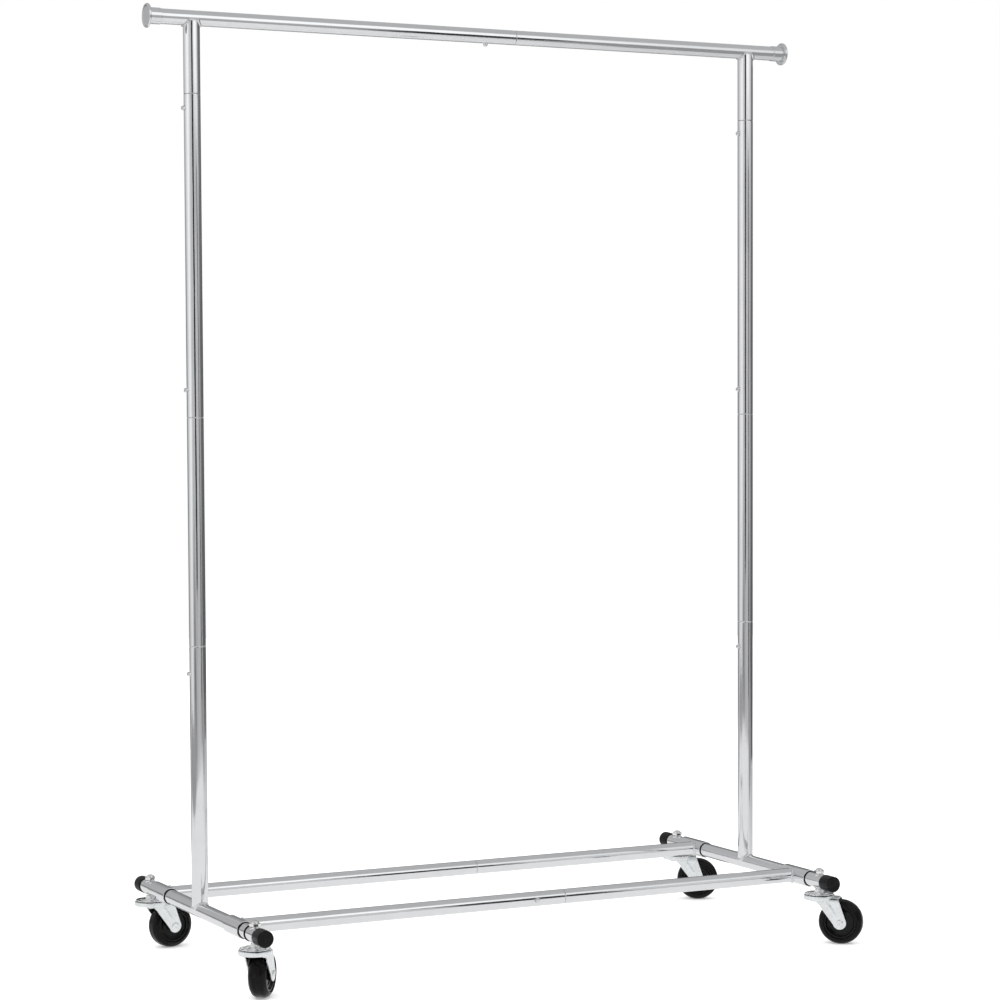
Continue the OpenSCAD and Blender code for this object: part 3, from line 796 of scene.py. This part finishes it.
def fork_sheet():
    """The pressed U of the fork as a sheet in the middle of its thickness."""
    mid = LEG_IN + LEG_T / 2
    bend = 5.0
    top = CROWN_Z + LEG_T / 2
    heights = [WHEEL_R - LEG_END_R * math.cos(a) for a in np.linspace(0.0, math.pi / 2 - 0.3, 12)]
    heights += list(np.linspace(heights[-1], 66, 16)[1:])
    heights += [68, 70, 72, 73.5, 75, 76.2, 77.2, 78, 78.6, LEG_TOP, LEG_TOP + 0.05]
    rows = [(-mid, z, z) for z in heights]
    for a in np.linspace(0, math.pi / 2, 8):
        rows.append((-mid + bend - bend * math.cos(a), top - bend + bend * math.sin(a), 80.0))
    rows += [(y, top, 80.0) for y in np.linspace(-mid + bend, 0, 6)[1:]]
    rows += [(-y, z, edge) for y, z, edge in reversed(rows[:-1])]
    columns = 24
    verts, faces = [], []
    for y, z, edge in rows:
        on_crown = z > LEG_TOP + 0.04
        front, rear = leg_edges(edge if edge < LEG_TOP + 0.04 else 80.0)
        if on_crown:
            rear = leg_edges(min(z, REAR_TOP))[1]
        sign = 1 if y > 0 else -1
        for k in range(columns + 1):
            x = front + (rear - front) * k / columns
            rib_x = TRAIL - (z - WHEEL_R) * 25 / 39
            rise = 0.0
            if not on_crown:
                fade = min(1, max(0, (z - 50) / 8)) * min(1, max(0, (LEG_TOP - z) / 6))
                rise = RIB_RISE * fade * math.exp(-((x - rib_x) / RIB_W) ** 2)
            verts.append((x, y + sign * rise, z))
    for i in range(len(rows) - 1):
        for k in range(columns):
            a = i * (columns + 1) + k
            faces.append([a, a + 1, a + columns + 2, a + columns + 1])
    return np.array(verts), faces


def fork_piece(corner):
    obj = new_object(f"fork_{corner}_pressed", placed(fork_sheet(), at_caster(corner)))
    weld = obj.modifiers.new("weld", "WELD")
    weld.merge_threshold = 0.00002
    thick = obj.modifiers.new("thick", "SOLIDIFY")
    thick.thickness = LEG_T * MM
    thick.offset = 0
    thick.use_even_offset = True
    edge = obj.modifiers.new("edge", "BEVEL")
    edge.width = 0.0004
    edge.segments = 2
    edge.limit_method = "ANGLE"
    edge.angle_limit = math.radians(50)
    baked(obj)
    # The round lower race cup, pressed into the crown
    inner, lip, floor_top = STEM_R + SNUG, CUP_Z - 0.5, CROWN_Z + LEG_T
    race = [(inner, CROWN_Z, 0.3), (CROWN_R - 4.5, CROWN_Z, 2.0), (CROWN_R - 3.2, CROWN_Z - 2.6, 0.8),
            (CROWN_R - 1.2, CROWN_Z - 2.6, 1.0), (CROWN_R, CROWN_Z - 0.6, 1.8), (CROWN_R, lip, 1.6),
            (CROWN_R - 2.4, lip, 0.8), (CROWN_R - 2.6, floor_top, 1.0), (inner, floor_top, 0.3)]
    crown = new_object("crown", placed(lathe(rounded(race, steps=6), 128), at_caster(corner)))
    bm = bmesh.new()
    bm.from_mesh(obj.data)
    bm.from_mesh(crown.data)
    bm.to_mesh(obj.data)
    bm.free()
    bpy.data.objects.remove(crown)
    return piece(obj, ZINC, f"caster_{corner}", "zinc_plate", f"fork_{corner}", sharp=38)


def mirrored(half_outline):
    """A turned outline whose two ends along its axis are alike."""
    return half_outline + [(r, -a, radius) for r, a, radius in reversed(half_outline)]


STEM_TOP = NUT_Z + 6        # inside the nut's dome
COLLAR_R = 8.0
COLLAR_TOP = Z_SIDE - BAR_R - WASHER_T - SNUG
TYRE_HALF = 15.9
TYRE_BORE = 30.55
AXLE_R = 3.95
for corner in CORNERS:
    # Swivel rivet, upper race cup, collar and stem, turned in one outline from the bottom up
    rivet_r, rivet_z = STEM_R - 0.02, CROWN_Z - 0.3
    outline = [(0, CROWN_Z - 3.0, 0), (6.0, CROWN_Z - 3.0, 1.5), (8.0, CROWN_Z - 1.4, 0.8),
               (8.0, rivet_z, 0.3), (rivet_r, rivet_z, 0.2)]
    cup = [(rivet_r, 0, 0.3), (14, 0, 0.5), (15, 0.4, 0.5), (25, 0.4, 0.3), (26.0, 0.9, 0.3),
           (27.0, 0.9, 0.5), (27.0, 2.6, 0.7), (25.4, 2.6, 0.7), (23.4, 1.5, 1.5), (19.5, 2.0, 2.0),
           (17.0, 4.2, 2.0), (12.0, 4.5, 1.5), (9.2, 4.8, 0.6), (9.2, 6.4, 0.5), (COLLAR_R, 6.6, 0.3)]
    outline += [(r, CUP_Z + z, radius) for r, z, radius in cup]
    outline += [(COLLAR_R, COLLAR_TOP, 0.5), (STEM_R, COLLAR_TOP, 0.2), (STEM_R, STEM_TOP - 1, 0.2),
                (STEM_R - 0.8, STEM_TOP, 0.2), (0, STEM_TOP, 0)]
    shape = placed(turned(outline, 112, closed=False, steps=4), at_corner(corner))
    obj = new_object(f"stem_{corner}_race", shape)
    piece(obj, ZINC_BRIGHT, "frame", "zinc_plate", f"stem_{corner}", sharp=38)
    fork_piece(corner)

    axle_place = at_caster(corner) @ move(TRAIL, 0, WHEEL_R) @ ALONG_Y
    half = LEG_IN + LEG_T
    outline = mirrored([(0, -half - 1.6, 0), (2.2, -half - 1.6, 0.3), (2.9, -half - 2.3, 0.4),
                        (4.8, -half - 2.3, 0.8), (6.3, -half - 1.2, 0.9), (6.4, -half - SNUG, 0.2),
                        (AXLE_R, -half - SNUG, 0.1)])
    shape = placed(turned(outline, 64, closed=False), axle_place)
    obj = new_object(f"axle_{corner}_rivet", shape)
    piece(obj, ZINC_BRIGHT, f"caster_{corner}", "bright_zinc", f"axle_{corner}")

    outline = mirrored([(TYRE_BORE, -TYRE_HALF + 0.5, 0.3), (31.6, -TYRE_HALF, 0.5),
                        (33.2, -TYRE_HALF + 0.05, 0.6), (WHEEL_R - 2.2, -TYRE_HALF + 3.8, 4.0),
                        (WHEEL_R, -7.0, 5.0)])
    shape = placed(turned(outline, 160, steps=8), axle_place)
    obj = new_object(f"tyre_{corner}_tread", shape)
    piece(obj, RUBBER, f"wheel_{corner}", "tyre_rubber", f"tyre_{corner}")

    # Hub, web and rim of the moulded core
    outline = mirrored([(4.06, -17.15, 0.2), (10.2, -17.15, 0.8), (11.0, -10.5, 1.2), (20, -9.6, 2.0),
                        (25.2, -10.6, 1.6), (26.6, -14.2, 0.9), (29.8, -14.4, 0.5), (30.45, -13.4, 0.2)])
    shape = placed(turned(outline, 128, steps=6), axle_place)
    obj = new_object(f"wheel_core_{corner}_disc", shape)
    piece(obj, WHEEL_PLASTIC, f"wheel_{corner}", "wheel_plastic", f"wheel_core_{corner}")

# ------------------------------------------------------------------ snap buttons

LEAF_DROP = 8.0
LEAF_START, LEAF_L = 14, 22


def snap_button(r, neck_r):
    """Button, foot and leaf spring; the button points along +Z from the tube's axis."""
    foot_top = math.sqrt((neck_r - WALL) ** 2 - BUTTON_FOOT_R ** 2) - 0.1
    foot_low = foot_top - 1.2
    top = r + BUTTON_RISE
    outline = [(0, foot_low, 0), (BUTTON_FOOT_R, foot_low, 0.2), (BUTTON_FOOT_R, foot_top, 0.3),
               (BUTTON_R, foot_top, 0.3), (BUTTON_R, top - 2.4, 1.2), (BUTTON_R - 1.2, top - 0.5, 1.6),
               (0, top, 0)]
    dome = turned(outline, 48, closed=False, steps=6)
    width, thick = 3.5, 1.0
    line = [(-BUTTON_FOOT_R, 0), (8, 0), (LEAF_START, -0.4)]
    line += [(LEAF_START + LEAF_L * t, -0.4 - (LEAF_DROP - 0.4) * t ** 1.1) for t in np.linspace(0.1, 1, 10)]
    verts, faces = [], []
    for x, z in line:
        z += foot_low
        verts += [(x, -width, z), (x, width, z), (x, width, z - thick), (x, -width, z - thick)]
    for i in range(len(line) - 1):
        a = 4 * i
        for k in range(4):
            m = (k + 1) % 4
            faces.append([a + k, a + m, a + 4 + m, a + 4 + k])
    last = 4 * (len(line) - 1)
    faces += [[3, 2, 1, 0], [last, last + 1, last + 2, last + 3]]
    return joined([dome, (np.array(verts), faces)])


for tier in LEVELS:
    for side_name, side in SIDES.items():
        name = f"button_{tier}_{side_name}"
        leaf_turn = turn("Z", 180 if tier == "middle" else 0)
        place = move(side * POST_X, 0, BUTTON_Z[tier]) @ turn("Y", -90) @ leaf_turn
        obj = new_object(f"{name}_dome", placed(snap_button(POST_R, POST_NECK_R), place))
        piece(obj, BUTTON_STEEL, name, "button_steel", name)
for bar_name, (tilt_name, y, z) in BARS.items():
    name = "button_bar" if bar_name == "hang_bar" else f"button_{bar_name}"
    place = move(BAR_BUTTON_X, y, z) @ turn("X", TILT[tilt_name]) @ turn("X", 180)
    obj = new_object(f"{name}_dome", placed(snap_button(BAR_R, BAR_NECK_R), place))
    piece(obj, BUTTON_STEEL, name, "button_steel", name)

# ------------------------------------------------------------------ stage


def plane(name, corners, tone, emission=0.0):
    """A flat card of the set, even in tone and without gloss."""
    mesh = bpy.data.meshes.new(name)
    mesh.from_pydata([tuple(c * MM for c in corner) for corner in corners], [], [list(range(len(corners)))])
    obj = bpy.data.objects.new(name, mesh)
    bpy.context.scene.collection.objects.link(obj)
    mat = bpy.data.materials.new(name)
    mat.use_nodes = True
    shader = mat.node_tree.nodes["Principled BSDF"]
    shader.inputs["Base Color"].default_value = rgb(*tone)
    shader.inputs["Roughness"].default_value = 1.0
    shader.inputs["Specular IOR Level"].default_value = 0.0
    if emission:
        shader.inputs["Emission Color"].default_value = rgb(*tone)
        shader.inputs["Emission Strength"].default_value = emission
    mesh.materials.append(mat)
    return obj


def reflection_only(obj):
    """Only shiny surfaces see the card; it lights nothing and casts no shadow."""
    obj.visible_camera = False
    obj.visible_diffuse = False
    obj.visible_transmission = False
    obj.visible_shadow = False


def disc(radius, z, count=96):
    angles = [2 * math.pi * k / count for k in range(count)]
    return [(radius * math.cos(a), radius * math.sin(a), z) for a in angles]


def shaded(obj, low, high, low_tone, high_tone, glow=0.0, edge_tone=0.0, rise=(0, 1), fall=(0, 1)):
    """Grades a card from one tone to another along X; a glowing one also fades between heights."""
    shader = obj.data.materials[0].node_tree.nodes["Principled BSDF"]
    nodes = Nodes(obj.data.materials[0].node_tree)
    parts = nodes.node("ShaderNodeSeparateXYZ")
    nodes.set(parts.inputs[0], nodes.node("ShaderNodeTexCoord").outputs["Object"])
    tone = nodes.remap(parts.outputs["X"], low * MM, high * MM, low_tone, high_tone, smooth=True)
    if not glow:
        nodes.set(shader.inputs["Base Color"], tone)
        return
    lit = nodes.math("MULTIPLY", nodes.remap(parts.outputs["Z"], rise[0] * MM, rise[1] * MM, smooth=True),
                     nodes.remap(parts.outputs["Z"], fall[0] * MM, fall[1] * MM, 1, 0, smooth=True))
    tone = nodes.math("ADD", edge_tone, nodes.math("MULTIPLY", lit, nodes.math("SUBTRACT", tone, edge_tone)))
    shader.inputs["Base Color"].default_value = rgb(0.0, 0.0, 0.0)
    nodes.set(shader.inputs["Emission Color"], tone)
    shader.inputs["Emission Strength"].default_value = glow


# The floor the camera sees, and a darker one that the tubes reflect
floor = plane("floor", disc(7000, 0), (0.90, 0.90, 0.90), 0.22)
floor.visible_glossy = False
grey_floor = plane("floor_in_reflections", disc(3000, -1), (0.62, 0.625, 0.63))
shaded(grey_floor, 300, 2600, 0.62, 0.40)
reflection_only(grey_floor)
# Flags and a stand around the set, and darker floor patches, with their tone; the left floor patch is
# painted shadow
CARDS = [
    ("flag_by_the_camera", 0.02,
     [(-2750, -4500, 350), (-1150, -5150, 350), (-1150, -5150, 3600), (-2750, -4500, 3600)]),
    ("stand_front_right", 0.02,
     [(1370, -3400, 60), (1960, -3400, 60), (1960, -3400, 1790), (1370, -3400, 1790)]),
    ("floor_front_right", 0.24,
     [(1450, -1300, 0), (3300, -1000, 0), (9000, -9600, 0), (4900, -9600, 0), (1800, -3000, 0)]),
    # Painted shadow: a dark sheet for the floor lying in shade on the left, seen only in reflections
    ("painted_shadow_floor_left", 0.24,
     [(-4500, -2600, 0), (-2650, -2600, 0), (-2300, 2300, 0), (-4500, 2300, 0)]),
    ("floor_behind", 0.36,
     [(-2300, 1350, 0), (3600, 1350, 0), (3600, 3200, 0), (-2300, 3200, 0)]),
]
for card_name, tone, corners in CARDS:
    reflection_only(plane(card_name, corners, (tone, tone, tone)))
BOX_X, BOX_Y, BOX_Z = (-300, 4600), -3500, (1500, 5400)
corners = [(BOX_X[0], BOX_Y, BOX_Z[0]), (BOX_X[1], BOX_Y, BOX_Z[0]),
           (BOX_X[1], BOX_Y, BOX_Z[1]), (BOX_X[0], BOX_Y, BOX_Z[1])]
softbox = plane("softbox_overhead", corners, (1, 1, 1))
shaded(softbox, 1500, 3300, 1.0, 0.72, glow=1.1, edge_tone=0.42, rise=(1650, 2150), fall=(4600, 5300))
reflection_only(softbox)

world = bpy.data.worlds.new("studio")
bpy.context.scene.world = world
world.use_nodes = True
sky = Nodes(world.node_tree)
background = world.node_tree.nodes["Background"]
split = sky.node("ShaderNodeSeparateXYZ")
sky.set(split.inputs[0], sky.node("ShaderNodeTexCoord").outputs["Generated"])
way_x, way_y, way_z = split.outputs
azimuth = sky.math("ARCTAN2", way_x, sky.math("MULTIPLY", way_y, -1.0))
around = sky.remap(azimuth, -math.pi, math.pi)
# Brightness of the studio walls: degrees from the front towards the right, then the brightness
# above, at and below eye level
WALLS = [(-180, .42, .42, .42), (-158, .46, .22, .25), (-147, .52, .26, .30), (-138, .58, .52, .50),
         (-117, .73, .70, .66), (-98, .95, .90, .80), (-80, 1.06, .98, .72), (-64, .85, .66, .20),
         (-49, .60, .52, .18), (-35, .56, .55, .42), (-6, .56, .52, .50), (9, .60, .55, .50),
         (24, .64, .52, .40), (40, .75, .42, .24), (57, .69, .35, .18), (66, .30, .15, .12),
         (77, .20, .13, .11), (102, .15, .12, .10), (150, .12, .10, .10), (165, .30, .24, .26),
         (180, .42, .42, .42)]
ABOVE, AT_EYE, BELOW = 1, 2, 3


def wall_ramp(column):
    ramp = sky.node("ShaderNodeValToRGB")
    sky.set(ramp.inputs["Fac"], around)
    elements = ramp.color_ramp.elements
    for row in WALLS:
        position = (row[0] + 180) / 360
        e = elements[0] if row is WALLS[0] else elements[-1] if row is WALLS[-1] else elements.new(position)
        e.position = position
        e.color = rgb(row[column], row[column], row[column])
    return ramp.outputs["Color"]


walls = sky.mix(sky.remap(way_z, -0.09, -0.02), wall_ramp(BELOW), wall_ramp(AT_EYE))
walls = sky.mix(sky.remap(way_z, 0.03, 0.11), walls, wall_ramp(ABOVE))
ceiling = sky.remap(way_z, 0.30, 0.60, smooth=True)
reflected = sky.mix(ceiling, walls, rgb(0.48, 0.485, 0.49))
ray = sky.node("ShaderNodeLightPath").outputs
fill = sky.mix(ray["Is Glossy Ray"], rgb(1.27, 1.27, 1.27), reflected)
sky.set(background.inputs["Color"], sky.mix(ray["Is Camera Ray"], fill, rgb(1.0, 1.0, 1.0)))

key_data = bpy.data.lights.new("key_softbox", "AREA")
key_data.shape = "RECTANGLE"
key_data.size, key_data.size_y = 2.4, 2.0
key_data.energy = 45
key = bpy.data.objects.new("key_softbox", key_data)
key.location = (-2.6, -2.2, 3.2)
key.rotation_euler = (Vector((0, 0, 0.6)) - key.location).to_track_quat("-Z", "Y").to_euler()
key.visible_glossy = False
bpy.context.scene.collection.objects.link(key)

# ------------------------------------------------------------------ camera

YAW, PITCH, ROLL = math.radians(26.613), math.radians(2.943), -0.00449
PLACE = (-2.2775, -4.6101, 1.0043)      # metres
ahead = Vector((math.sin(YAW) * math.cos(PITCH), math.cos(YAW) * math.cos(PITCH), -math.sin(PITCH)))
level = Vector((math.cos(YAW), -math.sin(YAW), 0))
upright = level.cross(ahead)
across = level * math.cos(ROLL) + upright * math.sin(ROLL)
up = across.cross(ahead)
camera_data = bpy.data.cameras.new("camera")
camera_data.sensor_width = 36
camera_data.lens = 100.39
camera_data.shift_y = 0.048
camera_data.clip_start, camera_data.clip_end = 0.05, 200
camera = bpy.data.objects.new("camera", camera_data)
camera.matrix_world = Matrix.Translation(PLACE) @ Matrix((across, up, -ahead)).transposed().to_4x4()
bpy.context.scene.collection.objects.link(camera)
bpy.context.scene.camera = camera
bpy.context.scene.view_settings.view_transform = "Standard"
bpy.context.scene.view_settings.look = "None"
